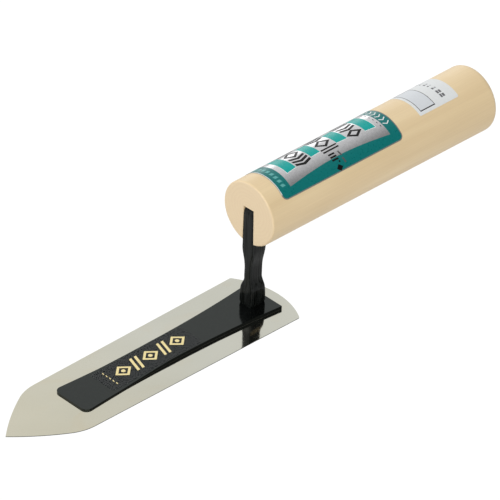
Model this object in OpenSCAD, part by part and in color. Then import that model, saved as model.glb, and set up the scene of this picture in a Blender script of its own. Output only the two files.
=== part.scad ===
// Pointed plastering trowel: a flat blade, a backing plate bonded on top of it,
// a forged neck that stands at the heel, and a straight wooden handle.
// Origin: on the sole, under the centre line of the neck.
// +X runs from the point of the blade to the butt of the handle, +Z is up.

/* [Blade] */
// Length of the blade from its point to the middle of its heel
blade_len = 150; // [120:1:200]
// Width of the blade at the shoulders behind the point
blade_w_front = 37.1; // [30:0.1:48]
// Width of the blade between the heel corners
blade_w_heel = 39.9; // [32:0.1:52]
// Thickness of the blade sheet
blade_t = 0.3; // [0.2:0.05:1]
// Half angle of the point
nose_angle = 43; // [38:1:50]
// Half angle where the long nose curve meets the shoulder curve
shoulder_angle = 30; // [20:1:34]
// Radius of the shoulder curve
shoulder_r = 21.5; // [10:0.5:30]
// Height of the bow of the heel edge
heel_bow = 6.1; // [2:0.1:10]
// Angle by which the heel is ground out of square
heel_skew = 2.4; // [0:0.1:5]
// Radius of the two heel corners
heel_corner_r = 1; // [0.5:0.1:3]
// Distance from the centre line of the neck to the middle of the heel
heel_overhang = 13.4; // [11:0.1:25]

/* [Backing plate] */
// Distance from the point of the blade to the front edge of the plate
plate_front_gap = 34.5; // [26:0.5:45]
// Distance from the rear edge of the plate to the middle of the heel
plate_rear_gap = 6.5; // [6:0.1:9]
// Width of the plate at its front edge
plate_w_front = 19.8; // [17:0.1:26]
// Width of the plate at its waist
plate_w_waist = 15; // [14.6:0.1:24]
// Width of the plate at its rear edge
plate_w_rear = 21.3; // [17:0.1:28]
// Distance from the front edge of the plate to its waist
plate_waist_back = 50; // [25:0.1:60]
// Thickness of the plate over its body
plate_t = 1.5; // [0.9:0.05:2.5]
// Thickness of the thin front part of the plate
plate_t_front = 0.6; // [0.3:0.05:0.9]
// Length of the thin front part
plate_thin_len = 23; // [10:1:30]
// Length of the ramp behind it, up to the full thickness
plate_ramp_len = 27; // [10:1:35]
// Radius of the two front corners of the plate
plate_corner_r = 2.9; // [1:0.1:5]
// Thickness of the adhesive between the plate and the blade
bond_t = 0.1; // [0.05:0.05:0.3]

/* [Plate label] */
// Distance from the front edge of the plate to the label
film_back = 17.5; // [8:0.5:25]
// Length of the label
film_len = 49.6; // [30:0.1:52]
// Width of the label
film_w = 13.9; // [8:0.1:14.5]
// Corner radius of the label
film_corner_r = 1.7; // [0.5:0.1:4]
// Thickness of the label film
film_t = 0.08; // [0.05:0.01:0.2]

/* [Neck] */
// Size of the foot along the blade
foot_x = 8.8; // [6:0.05:9.5]
// Size of the foot across the blade
foot_y = 7.2; // [5.5:0.05:9]
// Height of the upright front and back of the foot
foot_h = 4.4; // [3:0.1:8]
// Height of the upright sides of the foot
foot_side_h = 7.6; // [3:0.1:8]
// How far the foot draws in at its base
foot_tuck = 0.25; // [0.05:0.05:0.5]
// Height of the flare of the foot's front and back up to the waist
foot_flare = 7.6; // [5:0.1:10]
// Height of the flare of the foot's sides up to the waist
foot_side_flare = 5.6; // [5:0.1:10]
// Size of the waist along the blade
waist_x = 7.2; // [4.5:0.05:8]
// Size of the waist across the blade
waist_y = 4.1; // [2.5:0.05:5.5]
// Size of the head along the blade
head_x = 7.4; // [5:0.05:9]
// Size of the head across the blade, at its widest
head_y = 6.5; // [4.5:0.05:8]
// Size of the head across the blade, at its top
head_y_top = 5.8; // [4:0.05:7]
// Height of the flare from the waist up to the head
head_flare = 9.5; // [5:0.1:10]
// Distance from the end of that flare up to the underside of the handle
head_drop = 3.4; // [0.5:0.1:4]
// Radius of the front top corner of the head
head_corner_r = 3.2; // [1:0.1:5]
// Height of the head's top above the axis of the handle
head_rise = 2.4; // [2.3:0.1:4]
// Diameter of the tenons that pass through the backing plate
tenon_d = 2.4; // [1.5:0.1:3]
// Distance between the two tenons
tenon_pitch = 3.8; // [3.2:0.1:5]
// Diameter of the riveted heads under the plate
tenon_head_d = 3.2; // [2:0.1:4]
// Depth of the riveted heads
tenon_head_h = 0.4; // [0.2:0.05:0.6]

/* [Tang] */
// Length of the tang behind the head
tang_len = 88; // [40:1:110]
// Height of the tang at its root
tang_h = 4.6; // [3:0.1:4.6]
// Height of the tang at its end
tang_h_end = 2.4; // [1.5:0.1:4]
// Width of the tang at its root
tang_w = 5; // [3:0.1:5.4]
// Width of the tang at its end
tang_w_end = 2.6; // [1.5:0.1:4]
// Side clearance of the tang in its hole
tang_clear = 0.1; // [0.02:0.01:0.3]

/* [Handle] */
// Length of the handle
handle_len = 133; // [105:1:165]
// Diameter of the handle at its front
handle_d = 29.3; // [24:0.1:36]
// Diameter of the handle at its butt
handle_d_butt = 30.4; // [24:0.1:38]
// Height of the handle's axis over the sole, at its front
axis_h = 47.6; // [44:0.1:60]
// Rise of the handle towards its butt, in degrees
handle_tilt = 0.3; // [0:0.1:3]
// Radius of the front edge of the handle
front_edge_r = 0.8; // [0.3:0.1:2]
// Radius of the butt edge of the handle
butt_edge_r = 2.6; // [1:0.1:6]
// How far the front of the handle stands proud of the head of the neck
head_recess = 0.1; // [0:0.05:1]
// Clearance above the head of the neck in its slot
slot_top_clear = 0.3; // [0.1:0.05:0.6]
// Clearance on each side of the head of the neck in its slot
slot_side_clear = 0.06; // [0.05:0.01:0.3]
// Clearance behind the head of the neck in its slot
slot_back_clear = 0.15; // [0.1:0.01:0.4]

/* [Handle label] */
// Distance from the front of the handle to the label
label_back = 8.5; // [5:0.5:15]
// Distance from the label to the butt of the handle
label_butt_gap = 55; // [50:0.5:70]
// Angle that the label wraps round the handle
label_wrap = 130; // [80:1:150]
// Angle from the top of the handle to the middle of the label, towards -Y
label_turn = -10; // [-20:1:20]
// Corner radius of the label
label_corner_r = 2.4; // [1:0.1:5]
// Thickness of the label
label_t = 0.1; // [0.05:0.01:0.2]

/* [Price label] */
// Distance from the price label to the butt of the handle
price_butt_gap = 18.6; // [8:0.1:26]
// Length of the price label along the handle
price_len = 23.1; // [10:0.1:30]
// Angle that the price label wraps round the handle
price_wrap = 75; // [50:1:110]
// Angle from the top of the handle to the middle of the price label, towards -Y
price_turn = -2; // [-20:1:20]
// Corner radius of the price label
price_corner_r = 0.8; // [0.3:0.1:3]

/* [Hidden] */
$fn = 96;

steel = "#c9c6bb";
glue = "#d8cfa0";
plate_black = "#2b2d2d";
neck_black = "#1c1d1e";
wood = "#e6cfa2";
teal = "#12706b";
paper = "#e6e9ec";
clear_film = [0.8, 0.82, 0.8, 0.35];

// Steps in each curve of an outline, and the reach of a cut past a surface
curve_steps = 10;
heel_steps = 24;
past = 1;

// Stations along X
heel_x = heel_overhang;
point_x = heel_x - blade_len;
plate_front_x = point_x + plate_front_gap;
plate_rear_x = heel_x - plate_rear_gap;
plate_waist_x = plate_front_x + plate_waist_back;
plate_ramp_x = plate_front_x + plate_thin_len;
plate_full_x = plate_ramp_x + plate_ramp_len;
film_x = plate_front_x + film_back;
handle_x = -head_x / 2 - head_recess;

// Levels along Z
bond_z = blade_t;
plate_z = bond_z + bond_t;
plate_top = plate_z + plate_t;
plate_top_front = plate_z + plate_t_front;
handle_under = axis_h - handle_d / 2;
head_low = handle_under - head_drop;
waist_high = head_low - head_flare;
head_top = axis_h + head_rise;

// Nose of the blade: a long curve from the point, then the shoulder curve
nose_r = (blade_w_front / 2 - shoulder_r * (1 - cos(shoulder_angle)))
  / (cos(shoulder_angle) - cos(nose_angle));
nose_x = nose_r * (sin(nose_angle) - sin(shoulder_angle));
nose_y = nose_r * (cos(shoulder_angle) - cos(nose_angle));

// Radius of an arc from its bow and half its chord
function arc_r(bow, half_chord) = (bow * bow + half_chord * half_chord) / (2 * bow);

function unit(v) = v / norm(v);

// Points of an arc of radius r that rounds the corner at b between a and c
function round_corner(a, b, c, r) =
  let(
    u = unit(a - b),
    w = unit(c - b),
    half = acos(u * w) / 2,
    centre = b + unit(u + w) * r / sin(half),
    from = b + u * r / tan(half) - centre,
    to = b + w * r / tan(half) - centre,
    start = atan2(from.y, from.x),
    turn = (atan2(to.y, to.x) - start + 540) % 360 - 180
  )
  [for (i = [0:curve_steps])
    centre + r * [cos(start + turn * i / curve_steps), sin(start + turn * i / curve_steps)]];

function mirrored(points) = [for (i = [len(points) - 1:-1:0]) [points[i].x, -points[i].y]];
function swapped(points) = [for (p = points) [p.y, p.x]];

// One side of the blade, from the point back to the end of the shoulder
function nose_side() = [
  for (i = [0:curve_steps])
    let(a = nose_angle + (shoulder_angle - nose_angle) * i / curve_steps)
    [nose_r * (sin(nose_angle) - sin(a)), nose_r * (cos(a) - cos(nose_angle))]
];
function shoulder_side() = [
  for (i = [1:curve_steps])
    let(a = shoulder_angle * (1 - i / curve_steps))
    [
      nose_x + shoulder_r * (sin(shoulder_angle) - sin(a)),
      nose_y + shoulder_r * (cos(a) - cos(shoulder_angle))
    ]
];

// Points of the heel's arc, from one corner to the other
function heel_point(i) =
  let(
    r = arc_r(heel_bow, blade_w_heel / 2),
    y = blade_w_heel / 2 * (1 - 2 * i / heel_steps)
  )
  [blade_len - r + sqrt(r * r - y * y) - y * tan(heel_skew), y];

function blade_outline() =
  let(
    left = concat(nose_side(), shoulder_side()),
    right = mirrored(left),
    last = heel_steps
  )
  concat(
    left,
    round_corner(left[len(left) - 1], heel_point(0), heel_point(1), heel_corner_r),
    [for (i = [1:last - 1]) heel_point(i)],
    round_corner(heel_point(last - 1), heel_point(last), right[0], heel_corner_r),
    right
  );

// Half width of the backing plate at a distance back from its front edge
function plate_half(d) =
  let(
    rear = plate_rear_x - plate_front_x,
    end_w = d < plate_waist_back ? plate_w_front : plate_w_rear,
    span = d < plate_waist_back ? plate_waist_back : rear - plate_waist_back,
    sharpness = d < plate_waist_back ? 1.5 : 2,
    t = abs(d - plate_waist_back) / span
  )
  (plate_w_waist + (end_w - plate_w_waist) * pow(t, sharpness)) / 2;

function plate_side() =
  let(
    rear = plate_rear_x - plate_front_x,
    first = [plate_corner_r * 2, plate_half(plate_corner_r * 2)],
    corner = [0, plate_half(0)]
  )
  concat(
    round_corner([0, 0], corner, first, plate_corner_r),
    [for (i = [0:heel_steps])
      let(d = first.x + (rear - first.x) * i / heel_steps)
      [d, plate_half(d)]]
  );

// Height of the plate's top face at a place along X
function top_at(x) = lookup(x, [
  [plate_front_x, plate_top_front],
  [plate_ramp_x, plate_top_front],
  [plate_full_x, plate_top],
  [plate_rear_x, plate_top]
]);

// Smooth step from 0 to 1, and a flare between two half widths
function ease(t) = (1 - cos(180 * t)) / 2;
function flare(z0, z1, w0, w1) = [
  for (i = [0:curve_steps])
    let(t = i / curve_steps)
    [z0 + (z1 - z0) * t, (w0 + (w1 - w0) * ease(t)) / 2]
];

// One side of the neck as [height, half size] from the plate to the top of the head
function neck_side(foot, foot_top, foot_rise, waist, head, top) =
  concat(
    [[plate_top, foot / 2 - foot_tuck], [plate_top + foot_tuck * 2, foot / 2 - foot_tuck / 4]],
    flare(foot_top, foot_top + foot_rise, foot, waist),
    flare(waist_high, head_low, waist, head),
    [[head_top, top / 2]]
  );

// Radius of the handle at a distance back from its front
function handle_r(d) = (handle_d + (handle_d_butt - handle_d) * d / handle_len) / 2;

// Width of the head of the neck at a height
function head_width(z) = head_y + (head_y_top - head_y) * (z - head_low) / (head_top - head_low);

// A plate shape cut from a side view, w wide along Y
module along_y(points, w) {
  rotate([90, 0, 0])
    translate([0, 0, -w / 2])
      linear_extrude(w)
        polygon(points);
}

// A shape cut from a front view, from x0 to x1
module along_x(points, x0, x1) {
  translate([x0, 0, 0])
    rotate([90, 0, 90])
      linear_extrude(x1 - x0)
        polygon(points);
}

// A bar along +X that tapers from h0 by w0 to h1 by w1
module tapered_bar(length, h0, h1, w0, w1) {
  intersection() {
    along_y([[0, -h0 / 2], [length, -h1 / 2], [length, h1 / 2], [0, h0 / 2]], w0 + w1);
    translate([0, 0, -h0])
      linear_extrude(h0 * 2)
        polygon([[0, -w0 / 2], [length, -w1 / 2], [length, w1 / 2], [0, w0 / 2]]);
  }
}

// Moves a piece to the front of the handle, with +X along the handle's axis
module on_handle() {
  translate([handle_x, 0, axis_h])
    rotate([0, -handle_tilt, 0])
      children();
}

// A skin on the handle from d0, wrapped by an angle about a turn from the top
module wrapped_label(d0, length, wrap, turn, corner_r) {
  d1 = d0 + length;
  r0 = handle_r(d0);
  r1 = handle_r(d1);
  difference() {
    rotate([turn, 0, 0])
      rotate([0, 90, 0])
        rotate([0, 0, 180 - wrap / 2])
          rotate_extrude(angle = wrap)
            polygon([[r0, d0], [r0 + label_t, d0], [r1 + label_t, d1], [r1, d1]]);
    for (side = [-1, 1])
      for (end = [0, 1])
        label_corner(end == 0 ? d0 : d1, 1 - 2 * end, side, wrap, turn, corner_r);
  }
}

// What rounds one corner of a wrapped label: a square less a circle, cut radially
module label_corner(d, inward, side, wrap, turn, corner_r) {
  r = handle_r(d);
  back = asin(corner_r / r);
  rotate([turn + side * (wrap / 2 - back), 0, 0])
    translate([d + inward * corner_r, 0, r - past])
      difference() {
        mirror([inward > 0 ? 1 : 0, 0, 0])
          mirror([0, side > 0 ? 1 : 0, 0])
            cube([corner_r + past, corner_r + past, past * 2]);
        translate([0, 0, -past])
          cylinder(r = corner_r, h = past * 4);
      }
}

module blade() {
  color(steel)
    translate([point_x, 0, 0])
      linear_extrude(blade_t)
        polygon(blade_outline());
}

module plate_outline() {
  side = plate_side();
  translate([plate_front_x, 0])
    polygon(concat(side, mirrored(side)));
}

module bond_layer() {
  color(glue)
    translate([0, 0, bond_z])
      linear_extrude(bond_t)
        plate_outline();
}

module backing_plate() {
  color(plate_black)
    difference() {
      intersection() {
        translate([0, 0, plate_z])
          linear_extrude(plate_t)
            plate_outline();
        along_y([
          [plate_front_x, plate_z],
          [plate_rear_x, plate_z],
          [plate_rear_x, plate_top],
          [plate_full_x, plate_top],
          [plate_ramp_x, plate_top_front],
          [plate_front_x, plate_top_front]
        ], blade_w_heel);
      }
      tenons(past);
    }
}

// The two tenons under the foot, with their riveted heads flush under the plate
module tenons(over) {
  for (x = [-tenon_pitch / 2, tenon_pitch / 2])
    translate([x, 0, plate_z]) {
      cylinder(d = tenon_d, h = plate_t + over);
      cylinder(d1 = tenon_head_d, d2 = tenon_d, h = tenon_head_h);
    }
}

module plate_label() {
  top = [
    for (x = [film_x, plate_ramp_x, plate_full_x, film_x + film_len])
      if (x >= film_x && x <= film_x + film_len)
        [x, top_at(x)]
  ];
  last = len(top) - 1;
  color(clear_film)
    intersection() {
      along_y(concat(top, [for (i = [last:-1:0]) top[i] + [0, film_t]]), film_w);
      translate([film_x, -film_w / 2, 0])
        linear_extrude(plate_top + past)
          rounded_rectangle(film_len, film_w, film_corner_r);
    }
}

module rounded_rectangle(length, width, r) {
  translate([r, 0])
    square([length - 2 * r, width]);
  translate([0, r])
    square([length, width - 2 * r]);
  for (x = [r, length - r])
    for (y = [r, width - r])
      translate([x, y])
        circle(r);
}

module neck() {
  side = neck_side(foot_x, plate_top + foot_h, foot_flare, waist_x, head_x, head_x);
  front = neck_side(
    foot_y, plate_top + foot_side_h, foot_side_flare, waist_y, head_y, head_y_top
  );
  corner = [-head_x / 2, head_top];
  profile = concat(
    [for (i = [len(side) - 1:-1:0]) [side[i].y, side[i].x]],
    [for (i = [0:len(side) - 2]) [-side[i].y, side[i].x]],
    round_corner(corner - [0, head_rise], corner, corner + [head_x, 0], head_corner_r)
  );
  color(neck_black) {
    intersection() {
      along_y(profile, foot_y + head_y);
      along_x(swapped(concat(front, mirrored(front))), -foot_x, foot_x);
    }
    tenons(0);
    tang();
  }
}

// The tang starts inside the head and runs back along the handle's axis
module tang() {
  root = head_recess + head_x / 2;
  on_handle()
    translate([root, 0, 0])
      tapered_bar(
        head_x / 2 + tang_len, tang_h, tang_h_end, tang_w, tang_w_end
      );
}

module handle() {
  root = head_recess + head_x / 2;
  slot_depth = head_recess + head_x + slot_back_clear;
  slot_top = head_rise + slot_top_clear;
  slot_low = handle_d;
  top_w = head_width(axis_h + slot_top) / 2 + slot_side_clear;
  low_w = head_width(axis_h - slot_low) / 2 + slot_side_clear;
  color(wood)
    on_handle()
      difference() {
        rotate([0, 90, 0])
          rotate_extrude()
            polygon(concat(
              [[0, 0]],
              round_corner([0, 0], [handle_r(0), 0], [handle_r(handle_len), handle_len], front_edge_r),
              round_corner([handle_r(0), 0], [handle_r(handle_len), handle_len], [0, handle_len], butt_edge_r),
              [[0, handle_len]]
            ));
        along_x(
          [[-top_w, slot_top], [top_w, slot_top], [low_w, -slot_low], [-low_w, -slot_low]],
          -past, slot_depth
        );
        translate([root, 0, 0])
          tapered_bar(
            head_x / 2 + tang_len,
            tang_h, tang_h_end,
            tang_w + tang_clear * 2, tang_w_end + tang_clear * 2
          );
      }
}

module handle_label() {
  length = handle_len - label_back - label_butt_gap;
  color(teal)
    on_handle()
      wrapped_label(label_back, length, label_wrap, label_turn, label_corner_r);
}

module price_label() {
  back = handle_len - price_butt_gap - price_len;
  color(paper)
    on_handle()
      wrapped_label(back, price_len, price_wrap, price_turn, price_corner_r);
}

blade();
bond_layer();
backing_plate();
plate_label();
neck();
handle();
handle_label();
price_label();
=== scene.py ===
"""Pointed plastering trowel: polished blade, enamelled plate, forged neck and wooden handle."""

import math

import bpy
from mathutils import Matrix, Vector, noise
from mathutils.geometry import delaunay_2d_cdt


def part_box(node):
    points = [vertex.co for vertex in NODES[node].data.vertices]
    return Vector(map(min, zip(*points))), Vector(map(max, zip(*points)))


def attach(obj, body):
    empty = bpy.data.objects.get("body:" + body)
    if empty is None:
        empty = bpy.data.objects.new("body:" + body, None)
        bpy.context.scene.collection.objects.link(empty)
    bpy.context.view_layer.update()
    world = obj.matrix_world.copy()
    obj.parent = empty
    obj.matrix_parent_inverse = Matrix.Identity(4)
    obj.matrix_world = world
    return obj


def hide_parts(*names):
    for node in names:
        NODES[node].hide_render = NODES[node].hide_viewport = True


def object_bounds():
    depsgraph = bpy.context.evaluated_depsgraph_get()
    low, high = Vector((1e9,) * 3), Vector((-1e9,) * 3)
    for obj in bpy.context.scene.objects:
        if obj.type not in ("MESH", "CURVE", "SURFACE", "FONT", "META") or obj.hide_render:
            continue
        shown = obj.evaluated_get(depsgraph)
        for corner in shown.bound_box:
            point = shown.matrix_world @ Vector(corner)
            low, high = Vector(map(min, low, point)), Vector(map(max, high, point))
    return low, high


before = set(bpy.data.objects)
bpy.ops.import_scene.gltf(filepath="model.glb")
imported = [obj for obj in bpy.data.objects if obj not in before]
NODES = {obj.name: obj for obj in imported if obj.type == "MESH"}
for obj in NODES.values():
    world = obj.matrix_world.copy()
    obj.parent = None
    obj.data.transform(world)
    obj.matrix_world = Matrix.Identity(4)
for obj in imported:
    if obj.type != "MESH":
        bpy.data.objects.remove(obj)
cad_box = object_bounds()
MIDDLE = (Vector(cad_box[0]) + Vector(cad_box[1])) / 2
MM = 0.001

# Sizes that the CAD model holds, in millimetres
HANDLE_TILT = math.radians(0.3)
HANDLE_LEN = 133.0
HANDLE_R = 14.65
HANDLE_R_BUTT = 15.2
HEAD_RECESS = 0.1
FOOT = (8.8, 7.2)
WAIST = (7.2, 4.1)
HEAD = (7.4, 6.5)
HEAD_TOP = (7.4, 5.8)
FOOT_H, FOOT_FLARE = (4.4, 7.6), (7.6, 5.6)
HEAD_FLARE, HEAD_DROP = 9.5, 3.4
FOOT_TUCK, FOOT_TUCK_H = 0.25, 1.6
HEAD_CORNER_R = 3.2
NECK_CORNER_R, SLOT_CORNER_R = 0.8, 0.25
CORNER_BLEND_H, CORNER_BLEND_LEAD = 5.0, 4.0
TANG_LEN = 88.0
TANG_ROOT, TANG_END = (5.0, 4.6), (2.6, 2.4)
TENON_R, TENON_PITCH = 1.2, 3.8
TENON_HEAD_R, TENON_HEAD_H, TENON_ROOT = 1.6, 0.4, 1.0
PLATE_THIN_LEN, PLATE_RAMP_LEN, PLATE_RAMP_RISE = 23.0, 27.0, 0.9
LABEL_BACK, LABEL_LEN = 8.5, 69.5
LABEL_WRAP, LABEL_TURN = math.radians(130), math.radians(-10)
LABEL_CORNER_R = 2.4
PRICE_BACK, PRICE_LEN = 91.3, 23.1
PRICE_WRAP, PRICE_TURN = math.radians(75), math.radians(-2)
PRICE_CORNER_R = 0.8
FILM_CORNER_R = 1.7
LABEL_T, FILM_T = 0.1, 0.08

# Sizes that only the looks have, in millimetres
FILM_LIFT = 0.03
HAMMER_DEPTH = 0.09
PITH_ASIDE, PITH_UP = 0.8, 2.5

# Places in the row frame, in millimetres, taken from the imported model
PLATE_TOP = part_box("backing_plate")[1].z / MM
PLATE_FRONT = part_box("backing_plate")[0].x / MM
NECK_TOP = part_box("neck")[1].z / MM
AXIS_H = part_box("handle")[0].z / MM + HANDLE_R
HANDLE_X = -HEAD[0] / 2 - HEAD_RECESS
HEAD_LOW = AXIS_H - HANDLE_R - HEAD_DROP


# ---------------------------------------------------------------- meshes


def mesh_object(name, verts, faces, materials, face_materials=None, sharp=35):
    """A smooth object from points in millimetres. Edges over sharp degrees stay crisp."""
    mesh = bpy.data.meshes.new(name)
    mesh.from_pydata([Vector(v) * MM for v in verts], [], faces)
    for material in materials:
        mesh.materials.append(material)
    if face_materials:
        mesh.polygons.foreach_set("material_index", face_materials)
    mesh.validate()
    mesh.shade_smooth()
    mesh.set_sharp_from_angle(angle=math.radians(sharp))
    obj = bpy.data.objects.new(name, mesh)
    bpy.context.scene.collection.objects.link(obj)
    return obj


def piece(obj, slot, *replaced):
    """A finished piece: it rides on the trowel and may stand for CAD nodes, which it hides."""
    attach(obj, "root")
    if replaced:
        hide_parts(*replaced)


def loft(rings):
    """Vertices and faces of a closed body through rings of equal length."""
    count = len(rings[0])
    verts = [p for ring in rings for p in ring]
    faces = [tuple(reversed(range(count)))]
    for k in range(len(rings) - 1):
        for i in range(count):
            j = (i + 1) % count
            faces.append((k * count + i, k * count + j, (k + 1) * count + j, (k + 1) * count + i))
    faces.append(tuple(range(len(verts) - count, len(verts))))
    return verts, faces


def joined(parts):
    """Vertices and faces of several bodies in one list."""
    verts, faces = [], []
    for part_verts, part_faces in parts:
        start = len(verts)
        verts.extend(part_verts)
        faces.extend(tuple(start + i for i in face) for face in part_faces)
    return verts, faces


def rounded_ring(a, b, r, per_corner=5, per_side=4):
    """Points round a rectangle a by b with corner radius r, counter-clockwise."""
    points = []
    corners = [(1, 1), (-1, 1), (-1, -1), (1, -1)]
    for k, (sx, sy) in enumerate(corners):
        cx, cy = sx * (a / 2 - r), sy * (b / 2 - r)
        for i in range(per_corner + 1):
            angle = math.radians(90 * (k + i / per_corner))
            points.append((cx + r * math.cos(angle), cy + r * math.sin(angle)))
        last = points[-1]
        nx, ny = corners[(k + 1) % 4]
        turn = math.radians(90 * (k + 1))
        start = (nx * (a / 2 - r) + r * math.cos(turn), ny * (b / 2 - r) + r * math.sin(turn))
        for i in range(1, per_side):
            t = i / per_side
            points.append((last[0] + (start[0] - last[0]) * t, last[1] + (start[1] - last[1]) * t))
    return points


def ease(t):
    """A smooth step from 0 to 1."""
    t = min(max(t, 0.0), 1.0)
    return (1 - math.cos(math.pi * t)) / 2


def between(a, b, t):
    """The size a share t of the way from a to b."""
    return tuple(p + (q - p) * t for p, q in zip(a, b))


# ---------------------------------------------------------------- node materials


class Shader:
    """A node material with one Principled BSDF, and short calls for the nodes that feed it."""

    def __init__(self, name, **sockets):
        self.material = bpy.data.materials.new(name)
        self.material.use_nodes = True
        self.tree = self.material.node_tree
        self.bsdf = self.tree.nodes["Principled BSDF"]
        for socket, value in sockets.items():
            self.bsdf.inputs[socket.replace("_", " ")].default_value = value

    def node(self, kind, **settings):
        made = self.tree.nodes.new(kind)
        for key, value in settings.items():
            setattr(made, key, value)
        return made

    def link(self, output, target):
        self.tree.links.new(output, target)

    def feed(self, socket, value):
        """Sets a socket to a number or a colour, or links an output to it."""
        if isinstance(value, bpy.types.NodeSocket):
            self.link(value, socket)
        else:
            socket.default_value = value

    def coords(self, stretch=(1, 1, 1), shift=(0, 0, 0)):
        """Object coordinates, which are the row frame in metres, scaled along each axis."""
        source = self.node("ShaderNodeTexCoord").outputs["Object"]
        mapping = self.node("ShaderNodeMapping", vector_type="POINT")
        self.link(source, mapping.inputs["Vector"])
        mapping.inputs["Location"].default_value = shift
        mapping.inputs["Scale"].default_value = stretch
        return mapping.outputs["Vector"]

    def noise(self, vector, scale=1.0, detail=3.0, roughness=0.5, distortion=0.0):
        made = self.node("ShaderNodeTexNoise")
        self.link(vector, made.inputs["Vector"])
        made.inputs["Scale"].default_value = scale
        made.inputs["Detail"].default_value = detail
        made.inputs["Roughness"].default_value = roughness
        made.inputs["Distortion"].default_value = distortion
        return made.outputs["Fac"]

    def ramp(self, value, *stops):
        made = self.node("ShaderNodeValToRGB")
        self.link(value, made.inputs["Fac"])
        elements = made.color_ramp.elements
        while len(elements) < len(stops):
            elements.new(0.5)
        for element, (position, colour) in zip(elements, stops):
            element.position = position
            element.color = (*colour, 1) if isinstance(colour, tuple) else (colour,) * 3 + (1,)
        return made.outputs["Color"]

    def mix(self, fac, a, b, blend="MIX"):
        made = self.node("ShaderNodeMix", data_type="RGBA", blend_type=blend)
        for socket, value in ((made.inputs[0], fac), (made.inputs[6], a), (made.inputs[7], b)):
            if isinstance(value, tuple):
                value = (*value, 1)
            self.feed(socket, value)
        return made.outputs[2]

    def math(self, operation, a, b=0.0, c=0.0):
        made = self.node("ShaderNodeMath", operation=operation)
        for socket, value in zip(made.inputs, (a, b, c)):
            self.feed(socket, value)
        return made.outputs[0]

    def separate(self, vector):
        made = self.node("ShaderNodeSeparateXYZ")
        self.link(vector, made.inputs[0])
        return made.outputs

    def normal(self):
        return self.separate(self.node("ShaderNodeNewGeometry").outputs["Normal"])

    def bump(self, height, distance, strength=1.0, below=None):
        """Bumps the surface; distance is in millimetres."""
        made = self.node("ShaderNodeBump")
        self.link(height, made.inputs["Height"])
        made.inputs["Distance"].default_value = distance * MM
        made.inputs["Strength"].default_value = strength
        if below:
            self.link(below, made.inputs["Normal"])
        return made.outputs["Normal"]

    def colour(self, output):
        self.link(output, self.bsdf.inputs["Base Color"])

    def rough(self, output):
        self.link(output, self.bsdf.inputs["Roughness"])

    def surface(self, output):
        self.link(output, self.bsdf.inputs["Normal"])


def polished_stainless():
    """Mirror-finished sheet, warmer at its nose: haze, stains, fine lines and dark cut edges,
    whose darkness is partly their own dull tone and partly painted shade.
    """
    s = Shader("polished_stainless", Metallic=1.0)
    cloud = s.noise(s.coords((18, 30, 30)), detail=2.0, distortion=0.6)
    tone = s.ramp(cloud, (0.3, (0.545, 0.53, 0.447)), (0.7, (0.585, 0.57, 0.487)))
    x, _, _ = s.separate(s.coords())
    forwards = s.math("MULTIPLY_ADD", x, -8.0, 0.0)
    warmth = s.ramp(forwards, (0.35, (0.985, 1.01, 1.04)), (0.95, (1.0, 0.985, 0.93)))
    stain = s.noise(s.coords((45, 70, 70)), detail=3.0, distortion=0.4)
    stained = s.ramp(stain, (0.55, (1.0, 1.0, 1.0)), (0.75, (1.0, 0.955, 0.90)))
    sheet = s.mix(1.0, s.mix(1.0, tone, warmth, "MULTIPLY"), stained, "MULTIPLY")
    # The sheet's cut side faces are painted dark: partly their own dull tone, partly painted
    # shade.
    cut_edge_shade = s.math("LESS_THAN", s.math("ABSOLUTE", s.normal()[2]), 0.6)
    s.colour(s.mix(cut_edge_shade, sheet, (0.08, 0.08, 0.07)))
    lines = s.noise(s.coords((60, 2600, 2600)), detail=2.0)
    haze = s.noise(s.coords((90, 90, 90)), detail=4.0)
    s.rough(s.ramp(haze, (0.35, 0.05), (0.75, 0.11)))
    s.surface(s.bump(lines, 0.0012, 0.5))
    return s.material


def black_enamel():
    """Gloss black enamel with a slight orange peel and a little dust."""
    s = Shader("black_enamel", IOR=1.4, Specular_Tint=(0.86, 1.0, 0.92, 1))
    dust = s.noise(s.coords((700, 700, 700)), detail=5.0, roughness=0.7)
    s.colour(s.ramp(dust, (0.45, (0.0018, 0.0022, 0.0022)), (0.8, (0.006, 0.007, 0.007))))
    peel = s.noise(s.coords((420, 420, 420)), detail=1.0)
    s.rough(s.ramp(dust, (0.3, 0.07), (0.8, 0.16)))
    s.surface(s.bump(peel, 0.004, 0.6))
    return s.material


def black_forged():
    """Black paint over forged steel: lines run up the neck, over soft dents. The lighter lines are
    partly the paint's own tone and partly painted highlight.
    """
    s = Shader("black_forged", Specular_IOR_Level=0.15)
    streaks_and_glints = s.noise(s.coords((1300, 1300, 70)), detail=3.0)
    dents = s.noise(s.coords((330, 330, 200)), detail=1.5)
    # The lighter colour of the lines is partly the paint's own tone and partly painted highlight
    # stripes.
    s.colour(s.ramp(streaks_and_glints, (0.35, (0.001, 0.0015, 0.001)), (0.7, (0.02, 0.022, 0.021))))
    s.rough(s.ramp(streaks_and_glints, (0.35, 0.1), (0.7, 0.24)))
    s.surface(s.bump(streaks_and_glints, 0.06, 1.0, s.bump(dents, 0.12, 0.5)))
    return s.material


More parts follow.
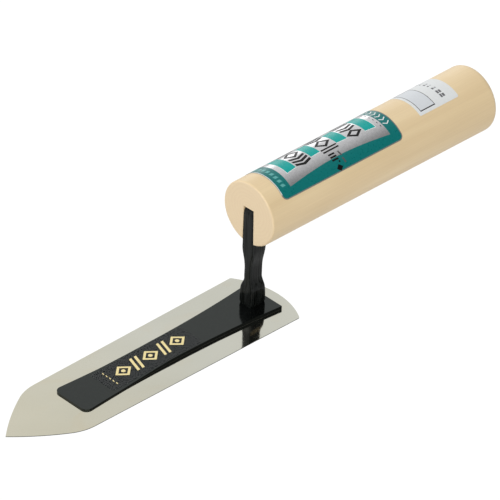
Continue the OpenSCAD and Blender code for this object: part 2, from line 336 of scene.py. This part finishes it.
def pale_wood():
    """Pale straight-grained wood, sanded smooth: rings about the pith, fibres and end grain."""
    s = Shader("pale_wood", Specular_IOR_Level=0.55, Sheen_Weight=0.1, Sheen_Roughness=0.4)
    place = s.coords(shift=(0, -PITH_ASIDE * MM, -(AXIS_H + PITH_UP) * MM))
    wander = s.noise(s.coords((9, 60, 60)), detail=2.0)
    _, y, z = s.separate(place)
    radius = s.math("SQRT", s.math("ADD", s.math("MULTIPLY", y, y), s.math("MULTIPLY", z, z)))
    wavy = s.math("ADD", s.math("MULTIPLY", radius, 620.0), s.math("MULTIPLY", wander, 3.0))
    rings = s.math("SINE", s.math("MULTIPLY", wavy, 2 * math.pi))
    ring_tone = s.math("MULTIPLY_ADD", rings, 0.5, 0.5)
    fibre = s.noise(s.coords((26, 1500, 1500)), detail=4.0, roughness=0.6)
    patch = s.noise(s.coords((14, 90, 90)), detail=2.0)
    base = s.ramp(patch, (0.3, (0.85, 0.655, 0.385)), (0.7, (0.9, 0.71, 0.435)))
    ringed = s.mix(s.math("MULTIPLY", ring_tone, 0.16), base, (0.66, 0.46, 0.24))
    fibres = s.ramp(fibre, (0.3, (0.90, 0.89, 0.86)), (0.62, (0.985, 0.985, 0.98)))
    side = s.mix(0.5, ringed, fibres, "MULTIPLY")
    end = s.mix(s.math("MULTIPLY", ring_tone, 0.12), (0.86, 0.68, 0.445), (0.72, 0.52, 0.30))
    is_end = s.math("GREATER_THAN", s.math("ABSOLUTE", s.normal()[0]), 0.75)
    s.colour(s.mix(is_end, side, end))
    s.rough(s.ramp(fibre, (0.3, 0.52), (0.7, 0.4)))
    s.surface(s.bump(fibre, 0.02, 0.5))
    return s.material


def ink(name, colour, metallic=0.0, roughness=0.3, gloss=0.35, speckle=0.06):
    """Printed ink or foil: its tone varies a little, as a thin print over film does."""
    s = Shader(name, Metallic=metallic, Specular_IOR_Level=gloss)
    grain = s.noise(s.coords((900, 900, 900)), detail=3.0)
    darker = tuple(c * (1 - speckle) for c in colour)
    lighter = tuple(min(c * (1 + speckle), 1) for c in colour)
    s.colour(s.ramp(grain, (0.3, darker), (0.7, lighter)))
    s.rough(s.ramp(grain, (0.3, roughness * 0.85), (0.7, roughness * 1.15)))
    s.surface(s.bump(s.noise(s.coords((260, 260, 260)), detail=1.0), 0.01, 0.4))
    return s.material


def clear_film():
    """Clear glossy film: a thin grey veil over the enamel below it."""
    s = Shader("clear_film", Alpha=0.16)
    haze = s.noise(s.coords((600, 600, 600)), detail=3.0)
    s.colour(s.ramp(haze, (0.3, (0.01, 0.012, 0.016)), (0.7, (0.018, 0.02, 0.026))))
    s.rough(s.ramp(haze, (0.3, 0.05), (0.7, 0.09)))
    return s.material


def adhesive():
    """Cured dark adhesive, seen only as a hairline round the plate."""
    s = Shader("adhesive")
    grain = s.noise(s.coords((800, 800, 800)), detail=3.0)
    s.colour(s.ramp(grain, (0.3, (0.02, 0.019, 0.016)), (0.7, (0.034, 0.031, 0.026))))
    s.rough(s.ramp(grain, (0.3, 0.45), (0.7, 0.6)))
    return s.material


# ---------------------------------------------------------------- printed labels


def arc(cx, cy, r, start, stop, steps=8):
    """Points of an arc, in degrees."""
    return [
        (cx + r * math.cos(math.radians(start + (stop - start) * i / steps)),
         cy + r * math.sin(math.radians(start + (stop - start) * i / steps)))
        for i in range(steps + 1)
    ]


def rounded(u0, v0, u1, v1, r):
    """A rectangle with rounded corners, counter-clockwise."""
    return (
        arc(u1 - r, v1 - r, r, 0, 90) + arc(u0 + r, v1 - r, r, 90, 180)
        + arc(u0 + r, v0 + r, r, 180, 270) + arc(u1 - r, v0 + r, r, 270, 360)
    )


def rectangle(u0, v0, u1, v1):
    """A rectangle, counter-clockwise."""
    return [(u0, v0), (u1, v0), (u1, v1), (u0, v1)]


def disc(cu, cv, r, steps):
    """A regular polygon of as many points as steps, for a dot or a round bar."""
    return arc(cu, cv, r, 0, 360 - 360 / steps, steps - 1)


def slanted(cu, cv, length, width, lean):
    """A bar that runs across the label, leaning by a distance over its length."""
    return [
        (cu - width / 2 - lean / 2, cv - length / 2), (cu + width / 2 - lean / 2, cv - length / 2),
        (cu + width / 2 + lean / 2, cv + length / 2), (cu - width / 2 + lean / 2, cv + length / 2),
    ]


def diamond(cu, cv, wide, high, line):
    """A diamond ring, cut at its left point so that it stays one outline."""
    outer = [(-wide / 2, 0.02), (0, high / 2), (wide / 2, 0), (0, -high / 2), (-wide / 2, -0.02)]
    shrink = 1 - 2 * line / min(wide, high)
    inner = [(x * shrink, y * shrink) for x, y in reversed(outer)]
    return [(cu + x, cv + y) for x, y in reversed(outer + inner)]


def chevron(cu, cv, span, rise, width):
    """A V whose point faces +v."""
    return [
        (cu - span / 2, cv - rise / 2), (cu, cv + rise / 2 - width / 2),
        (cu + span / 2, cv - rise / 2), (cu + span / 2, cv - rise / 2 + width),
        (cu, cv + rise / 2 + width / 2), (cu - span / 2, cv - rise / 2 + width),
    ]


def printed_sheet(name, outline, art, guides, place, thickness, materials, edge_ink, sharp=35):
    """A closed thin sheet whose top is divided into inked regions.

    art is [(points, material number)], each over those before it. guides are lines (a, b) that
    only divide the sheet, so that it can bend. place(u, v, lift) gives a point in millimetres.
    Its rim and its underside have the ink numbered edge_ink.
    """
    points, edges, faces = [], [], []
    for shape in [outline] + [shape for shape, _ in art]:
        start = len(points)
        points.extend(Vector(p) for p in shape)
        faces.append(list(range(start, len(points))))
    for a, b in guides:
        edges.append((len(points), len(points) + 1))
        points.extend((Vector(a), Vector(b)))
    flat, _, triangles, _, _, sources = delaunay_2d_cdt(points, edges, faces, 1, 1e-5)
    inks = [edge_ink] + [number for _, number in art]
    top = [(tri, inks[max(src)]) for tri, src in zip(triangles, sources) if 0 in src]
    used = sorted({i for tri, _ in top for i in tri})
    number = {old: new for new, old in enumerate(used)}
    count = len(used)
    verts = [place(flat[i].x, flat[i].y, thickness) for i in used]
    verts += [place(flat[i].x, flat[i].y, 0.0) for i in used]
    made, paints, open_edges = [], [], {}
    for tri, paint in top:
        tri = [number[i] for i in tri]
        made += [tuple(tri), tuple(i + count for i in reversed(tri))]
        paints += [paint, edge_ink]
        for a, b in zip(tri, tri[1:] + tri[:1]):
            if (b, a) in open_edges:
                del open_edges[(b, a)]
            else:
                open_edges[(a, b)] = True
    for a, b in open_edges:
        made.append((b, a, a + count, b + count))
        paints.append(edge_ink)
    return mesh_object(name, verts, made, materials, paints, sharp)


def handle_radius(d):
    """Radius of the tapered handle at a distance from its front end."""
    return HANDLE_R + (HANDLE_R_BUTT - HANDLE_R) * d / HANDLE_LEN


def along_handle(d, y, up):
    """A point at a distance from the handle's front end, and at y and up from its axis."""
    return Vector((
        HANDLE_X + d * math.cos(HANDLE_TILT) - up * math.sin(HANDLE_TILT),
        y,
        AXIS_H + d * math.sin(HANDLE_TILT) + up * math.cos(HANDLE_TILT),
    ))


def on_handle(back, turn):
    """place() for a label that starts back from the front of the handle, turned towards -Y."""
    def place(u, v, lift):
        angle = turn + v / HANDLE_R
        r = handle_radius(back + u) + lift
        return along_handle(back + u, -r * math.sin(angle), r * math.cos(angle))

    return place


def bend_guides(length, half, step=0.5):
    """Lines along a label, close enough together for it to wrap smoothly."""
    count = int(2 * half / step)
    return [((-1, -half + step * i), (length + 1, -half + step * i)) for i in range(1, count)]


# Numbers of the inks in each label's list of materials, and of the grey painted as shade on the
# handle label's margin
FOIL, DARK_TEAL, TEAL, BLACK, WHITE, PALE_TEAL, GREY, SHADED_RIM = range(8)
PAPER, BOX_LINE, PALE_BLUE, DARK_DASH, FAINT_DASH = range(5)
FILM, GOLD = range(2)

# Sizes shared by the handle label's motifs: half length, and a chevron's span, rise and line
MOTIF_HALF = 4.4
MOTIF_CHEVRON = (8.4, 1.9, 1.3)


def barrel(u0, u1, half_end, half_mid, steps=16):
    """A panel whose two long sides bow inwards."""
    def half(t):
        return half_end + (half_mid - half_end) * math.sin(math.pi * t)

    lower = [(u0 + (u1 - u0) * i / steps, -half(i / steps)) for i in range(steps + 1)]
    return lower + [(u, -v) for u, v in reversed(lower)]


def motif(u, kind):
    """Black bars, chevrons and a diamond for one of three generic motifs."""
    def bar(low, high):
        return rectangle(u - MOTIF_HALF, low, u + MOTIF_HALF, high)

    def arrow(v):
        return chevron(u, v, *MOTIF_CHEVRON)

    def gem(v, high, line):
        return diamond(u, v, 2 * MOTIF_HALF, high, line)

    return (
        [bar(-6.4, -5.4), gem(-1.9, 6.0, 1.35), arrow(1.4), arrow(3.4), arrow(5.4)],
        [arrow(-5.6), arrow(-3.6), gem(1.0, 6.0, 1.35), bar(4.4, 5.2), bar(5.9, 6.7)],
        [bar(-6.4, -5.5), bar(-4.7, -3.8), arrow(-1.8), arrow(0.2), gem(4.3, 5.0, 1.25)],
    )[kind]


def handle_label():
    """Foil label in two teals with a silver panel. Its motifs are generic."""
    half = LABEL_WRAP / 2 * HANDLE_R
    rim = 0.45
    panel = (6.2, LABEL_LEN - 5.4)
    band = (9.25, LABEL_LEN - 9.0)
    band_line = 0.3
    front_dashes, rear_arrows, rear_dashes = 3.2, LABEL_LEN - 3.1, LABEL_LEN - 6.6
    motif_centres, mark = (19.6, 34.7, 50.2), 33.0
    outline = rounded(0, -half, LABEL_LEN, half, LABEL_CORNER_R)
    art = [
        (rounded(rim, -half + rim, LABEL_LEN - rim, half - rim, LABEL_CORNER_R - 0.4), DARK_TEAL),
        (barrel(*panel, 12.4, 10.2), FOIL),
        (barrel(band[0] - band_line, band[1] + band_line, 6.9, 4.9), WHITE),
        (barrel(*band, 6.6, 4.6), TEAL),
    ]
    for kind, u in enumerate(motif_centres):
        art.append((rounded(u - 4.9, -8.4, u + 4.9, 6.9, 1.6), FOIL))
        art += [(shape, BLACK) for shape in motif(u, kind)]
    # A white strip along the front margin: painted highlight on the silver margin.
    art.append((rectangle(0.1, 2.2 - half, rim, half - 2.6), WHITE))
    art += [(slanted(front_dashes, -13.0 + 2.35 * k, 1.3, 1.8, 0.5), PALE_TEAL) for k in range(11)]
    for k in range(8):
        v = -10.5 + 2.5 * k
        art.append((chevron(rear_arrows, v, 3.4, 1.3, 0.55), WHITE))
        art.append((slanted(rear_dashes, v * 0.9 + 1.0, 0.9, 0.5, 0.0), GREY))
    art += [(rectangle(mark - 1.7, v, mark + 1.7, v + 0.8), BLACK) for v in (7.9, 9.3, 10.7)]
    art += [
        (rectangle(mark + 0.9, 12.1, mark + 1.7, 12.9), BLACK),
        ([(mark - 1.8, 14.9), (mark, 13.4), (mark + 1.8, 14.9), (mark, 16.4)], BLACK),
        (slanted(mark + 3.8, 9.4, 2.4, 0.8, 0.3), GREY),
        (slanted(mark + 3.8, 12.8, 2.4, 0.8, 0.3), GREY),
    ]
    materials = [
        ink("silver_foil", (0.60, 0.60, 0.61), metallic=0.9, roughness=0.22),
        ink("dark_teal_ink", (0.0, 0.17, 0.165), roughness=0.3, gloss=0.3),
        ink("bright_teal_ink", (0.0, 0.38, 0.345), roughness=0.3, gloss=0.2),
        ink("black_ink", (0.004, 0.004, 0.004), roughness=0.35, gloss=0.2),
        # White serves both as print and as the painted highlight on the label's front margin.
        ink("white_ink_and_highlight", (0.8, 0.82, 0.82), roughness=0.35),
        ink("pale_teal_ink", (0.11, 0.42, 0.40), roughness=0.35),
        ink("grey_ink", (0.09, 0.09, 0.09), roughness=0.4),
        # Grey for the label's margin, rim and underside is painted shade: it stands for the silver
        # margin and cut edge in shade.
        ink("shaded_rim_grey", (0.2, 0.2, 0.19), roughness=0.4),
    ]
    obj = printed_sheet("handle_label_print", outline, art, bend_guides(LABEL_LEN, half),
                        on_handle(LABEL_BACK, LABEL_TURN), LABEL_T, materials, SHADED_RIM)
    piece(obj, "teal_foil", "handle_label")


def price_label():
    """White paper label with an empty outlined box and grey dashes."""
    half = PRICE_WRAP / 2 * HANDLE_R
    outline = rounded(0, -half, PRICE_LEN, half, PRICE_CORNER_R)
    art = [
        (rectangle(1.5, 1.2 - half, 10.2, half - 1.55), BOX_LINE),
        (rectangle(1.8, 1.5 - half, 9.9, half - 2.05), PALE_BLUE),
    ]
    for k, length in enumerate((1.9, 1.9, 1.1, 0.7, 1.1, 0.7, 1.2)):
        v = half - 4.8 - 2.35 * k
        second = DARK_DASH if k < 2 else FAINT_DASH
        art.append((rectangle(15.3, v, 16.3, v + length), DARK_DASH))
        art.append((rectangle(16.6, v + 0.2, 17.7, v + length - 0.1), second))
    materials = [
        ink("white_paper", (0.79, 0.81, 0.81), roughness=0.55, speckle=0.02),
        ink("box_ink", (0.02, 0.02, 0.02), roughness=0.5),
        ink("pale_blue_ink", (0.70, 0.73, 0.76), roughness=0.5, speckle=0.02),
        ink("soft_black_ink", (0.13, 0.13, 0.14), roughness=0.5),
        ink("faint_grey_ink", (0.38, 0.40, 0.42), roughness=0.5),
    ]
    obj = printed_sheet("price_label_print", outline, art, bend_guides(PRICE_LEN, half),
                        on_handle(PRICE_BACK, PRICE_TURN), LABEL_T, materials, PAPER)
    piece(obj, "white_paper", "price_label")


def plate_label():
    """Clear film on the plate, printed with a row of generic gold marks."""
    low, high = (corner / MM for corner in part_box("plate_label"))
    length, width = high.x - low.x, high.y - low.y
    ramp_start = PLATE_FRONT + PLATE_THIN_LEN
    ramp_end = ramp_start + PLATE_RAMP_LEN

    def place(u, v, lift):
        x = low.x + u
        below = min(max((ramp_end - x) / PLATE_RAMP_LEN, 0.0), 1.0) * PLATE_RAMP_RISE
        return Vector((x, v, PLATE_TOP - below + FILM_LIFT + lift))

    aside = 0.3
    gold = []
    for u in (12.0, 27.0, 42.0):
        gold += [diamond(u, aside, 8.6, 7.6, 1.35), disc(u, aside, 1.0, 8)]
    for u in (19.5, 34.5):
        gold += [slanted(u + step, aside, 8.0, 1.25, 2.4) for step in (-1.3, 1.3)]
    small = [slanted(4.6, -4.0 + 2.1 * k, 1.2, 0.45, 0.3) for k in range(5)]
    art = [(shape, GOLD) for shape in gold + small]
    outline = rounded(0, -width / 2, length, width / 2, FILM_CORNER_R)
    guides = [((x - low.x, -width), (x - low.x, width)) for x in (ramp_start, ramp_end)]
    materials = [clear_film(), ink("gold_foil", (0.86, 0.73, 0.37), metallic=0.85, roughness=0.35)]
    obj = printed_sheet("plate_label_print", outline, art, guides, place, FILM_T, materials,
                        FILM, sharp=1)
    piece(obj, "clear_film", "plate_label")


# ---------------------------------------------------------------- neck


def neck_size(z):
    """Size of the neck along and across the blade at a height."""
    waist_high = HEAD_LOW - HEAD_FLARE
    if z > HEAD_LOW:
        return between(HEAD, HEAD_TOP, (z - HEAD_LOW) / (NECK_TOP - HEAD_LOW))
    if z > waist_high:
        return between(WAIST, HEAD, ease((z - waist_high) / HEAD_FLARE))
    return [
        foot + (waist - foot) * ease((z - PLATE_TOP - height) / flare)
        for foot, waist, height, flare in zip(FOOT, WAIST, FOOT_H, FOOT_FLARE)
    ]


def neck_post():
    """The upright part of the neck, with hammered faces, as a loft of rounded rings."""
    rings = []
    count = 120
    for k in range(count + 1):
        z = PLATE_TOP + (NECK_TOP - PLATE_TOP) * k / count
        a, b = neck_size(z)
        tuck = FOOT_TUCK * (1 - ease((z - PLATE_TOP) / FOOT_TUCK_H))
        in_head = ease((z - HEAD_LOW + CORNER_BLEND_LEAD) / CORNER_BLEND_H)
        corner = NECK_CORNER_R - (NECK_CORNER_R - SLOT_CORNER_R) * in_head
        over = min(max(z - (NECK_TOP - HEAD_CORNER_R), 0.0), HEAD_CORNER_R)
        lost = HEAD_CORNER_R - math.sqrt(HEAD_CORNER_R ** 2 - over ** 2)
        depth = HAMMER_DEPTH * (1 - in_head)
        ring = []
        for x, y in rounded_ring(a - tuck * 2 - lost, b - tuck * 2, corner):
            dent = noise.noise(Vector((x * 0.5, y * 0.5, z * 0.22))) * depth
            inside = 1 - dent / math.hypot(x, y)
            ring.append((x * inside + lost / 2, y * inside, z))
        rings.append(ring)
    return loft(rings)


def bar_along_handle(start, stop, first, last, r):
    """A tapered bar inside the handle, along its axis."""
    return loft([
        [along_handle(d, y, up) for y, up in rounded_ring(wide, high, r)]
        for d, (wide, high) in ((start, first), (stop, last))
    ])


def tenon(x):
    """One tenon under the foot, from its riveted head up into the foot."""
    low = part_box("neck")[0].z / MM
    top = PLATE_TOP + TENON_ROOT
    profile = [(low, TENON_HEAD_R), (low + TENON_HEAD_H, TENON_R), (top, TENON_R)]
    return loft([[(x + px, py, z) for px, py in disc(0, 0, r, 24)] for z, r in profile])


def neck():
    """Forged neck: foot, waist and head, with its tang inside the handle and two tenons."""
    root = HEAD_RECESS + HEAD[0] / 2
    verts, faces = joined([
        neck_post(),
        bar_along_handle(root, root + HEAD[0] / 2 + TANG_LEN, TANG_ROOT, TANG_END, 0.3),
        tenon(-TENON_PITCH / 2),
        tenon(TENON_PITCH / 2),
    ])
    piece(mesh_object("forged_neck", verts, faces, [black_forged()]), "black_forged", "neck")


# ---------------------------------------------------------------- CAD nodes that stay


def soften(node, width, segments=3):
    """Rounds a CAD node's edges with modifiers. Width is in millimetres."""
    obj = NODES[node]
    weld = obj.modifiers.new("weld", "WELD")
    weld.merge_threshold = 1e-6
    bevel = obj.modifiers.new("rounded_edges", "BEVEL")
    bevel.width = width * MM
    bevel.segments = segments
    bevel.limit_method = "ANGLE"
    bevel.angle_limit = math.radians(40)
    bevel.harden_normals = True


def paint(node, material):
    """Gives a CAD node one material."""
    mesh = NODES[node].data
    mesh.materials.clear()
    mesh.materials.append(material)


def cad_nodes():
    """Looks of the four CAD nodes that stay in the picture."""
    paint("blade", polished_stainless())
    paint("bond_layer", adhesive())
    paint("backing_plate", black_enamel())
    paint("handle", pale_wood())
    soften("backing_plate", 0.25)


# ---------------------------------------------------------------- stage, light and camera


FLOOR_GLOW, FLOOR_SEEN = 0.68, 1.05
TENT_BRIGHT_SIDE = (-0.5, 0.8, 0.3)
TENT_LEVELS = ((0.28, 0.22), (0.39, 0.37), (0.55, 0.76), (0.67, 1.0), (0.9, 1.09))


def floor():
    """A plain white sweep under the trowel. It lights the trowel less than it shows."""
    s = Shader("white_sweep", Roughness=1.0, Specular_IOR_Level=0.0,
               Base_Color=(0, 0, 0, 1), Emission_Color=(1, 1, 1, 1))
    seen = s.node("ShaderNodeLightPath").outputs["Is Camera Ray"]
    glow = s.math("MULTIPLY_ADD", seen, FLOOR_SEEN - FLOOR_GLOW, FLOOR_GLOW)
    s.link(glow, s.bsdf.inputs["Emission Strength"])
    half, low = 40000, -0.02
    corners = [(-half, -half, low), (half, -half, low), (half, half, low), (-half, half, low)]
    mesh_object("floor", corners, [(0, 1, 2, 3)], [s.material])


def studio():
    """A white tent that is brightest on the far left and darker towards the near right."""
    world = bpy.data.worlds.new("tent")
    bpy.context.scene.world = world
    world.use_nodes = True
    tree = world.node_tree
    background = tree.nodes["Background"]
    direction = tree.nodes.new("ShaderNodeTexCoord")
    towards = tree.nodes.new("ShaderNodeVectorMath")
    towards.operation = "DOT_PRODUCT"
    towards.inputs[1].default_value = Vector(TENT_BRIGHT_SIDE).normalized()
    scaled = tree.nodes.new("ShaderNodeMapRange")
    scaled.inputs["From Min"].default_value = -1
    ramp = tree.nodes.new("ShaderNodeValToRGB")
    elements = ramp.color_ramp.elements
    for _ in TENT_LEVELS[2:]:
        elements.new(0.5)
    for element, (position, level) in zip(elements, TENT_LEVELS):
        element.position = position
        element.color = (level, level, level, 1)
    tree.links.new(direction.outputs["Generated"], towards.inputs[0])
    tree.links.new(towards.outputs["Value"], scaled.inputs["Value"])
    tree.links.new(scaled.outputs["Result"], ramp.inputs["Fac"])
    tree.links.new(ramp.outputs["Color"], background.inputs["Color"])


def softbox(name, towards, distance, size, power):
    """An area light that faces the middle of the trowel from a direction."""
    light = bpy.data.lights.new(name, "AREA")
    light.shape = "DISK"
    light.size = size
    light.energy = power
    obj = bpy.data.objects.new(name, light)
    bpy.context.scene.collection.objects.link(obj)
    direction = Vector(towards).normalized()
    obj.location = MIDDLE + direction * distance
    obj.rotation_euler = direction.to_track_quat("Z", "Y").to_euler()


def camera():
    """A long lens from the near left, a third of the way up, with a slight roll."""
    azimuth, elevation, roll = (math.radians(a) for a in (-44.96, 34.62, 1.845))
    distance = 1.8186
    aim = MIDDLE + Vector((0.294, -1.101, -1.736)) * MM
    back = Vector((
        math.sin(azimuth) * math.cos(elevation),
        -math.cos(azimuth) * math.cos(elevation),
        math.sin(elevation),
    ))
    level = Vector((math.cos(azimuth), math.sin(azimuth), 0))
    upright = back.cross(level)
    right = level * math.cos(roll) + upright * math.sin(roll)
    up = upright * math.cos(roll) - level * math.sin(roll)
    data = bpy.data.cameras.new("camera")
    data.lens, data.sensor_width = 317.5, 36
    data.clip_start, data.clip_end = 0.1, 100
    obj = bpy.data.objects.new("camera", data)
    bpy.context.scene.collection.objects.link(obj)
    obj.matrix_world = Matrix.Translation(aim + back * distance) @ Matrix((
        (*(right[0], up[0], back[0]), 0), (*(right[1], up[1], back[1]), 0),
        (*(right[2], up[2], back[2]), 0), (0, 0, 0, 1),
    ))
    bpy.context.scene.camera = obj


camera()
bpy.context.scene.view_settings.view_transform = "Standard"
studio()
floor()
softbox("front_fill", (-0.5, -0.8, 0.52), distance=1.6, size=1.9, power=11.5)
softbox("back_sheen", (0.6, 0.78, 0.16), distance=1.6, size=0.6, power=0.9)
cad_nodes()
neck()
plate_label()
handle_label()
price_label()
